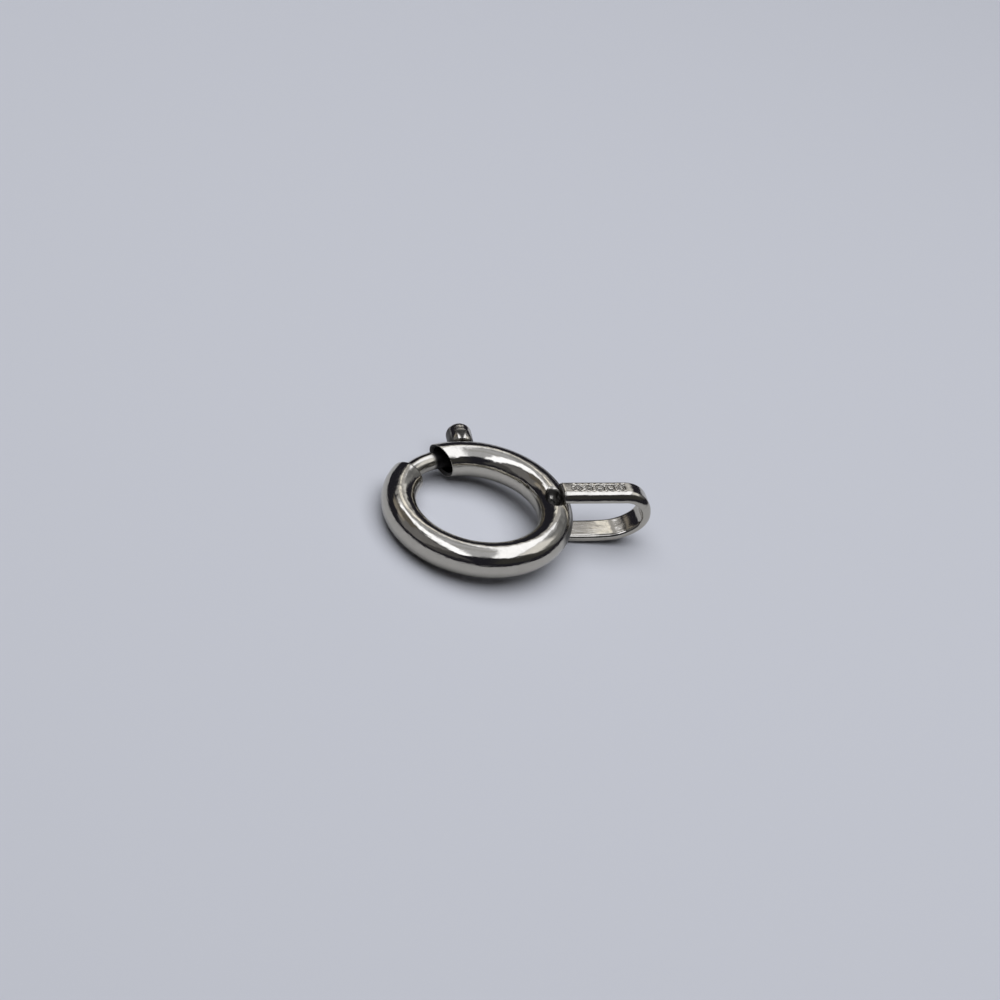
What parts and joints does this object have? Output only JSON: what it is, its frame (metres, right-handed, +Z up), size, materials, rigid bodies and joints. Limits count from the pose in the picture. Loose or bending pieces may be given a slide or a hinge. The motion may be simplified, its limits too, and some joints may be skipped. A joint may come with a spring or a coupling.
{
  "type": "spring ring clasp",
  "caption": "Spring ring clasp: a ring bent from round tube, whose sprung curved bolt is drawn back by a small knob, with a long end loop bent from flat strip.",
  "frame": {"origin": "on the surface that the clasp lies on, under the middle of its bounding box", "axes": "+X towards the end loop, +Y towards the knob's side of the ring, +Z up"},
  "size_m": [0.0086, 0.0068, 0.0021],
  "materials": {
    "ring_metal": "mirror polished white precious metal",
    "loop_metal": "polished white precious metal with a stamped row",
    "bolt_metal": "polished white precious metal, lightly rubbed",
    "knob_metal": "turned and polished white precious metal",
    "spring_wire": "drawn stainless spring wire"
  },
  "bodies": {
    "clasp": {"ring_tube": "ring_metal", "end_loop": "loop_metal", "coil_spring": "spring_wire"},
    "bolt": {"gate_bolt": "bolt_metal", "trigger_knob": "knob_metal"}
  },
  "joints": [
    {"name": "bolt_slide", "type": "hinge", "parent": "clasp", "child": "bolt", "pos_m": [-0.0013, -0.00041, 0.0008], "axis": [-0.0999, 0.0087, 0.995], "range_deg": [-41, 0], "stiffness_Nm_per_rad": 0.000001, "springref_deg": 34.38, "deforming": ["coil_spring"]}
  ]
}
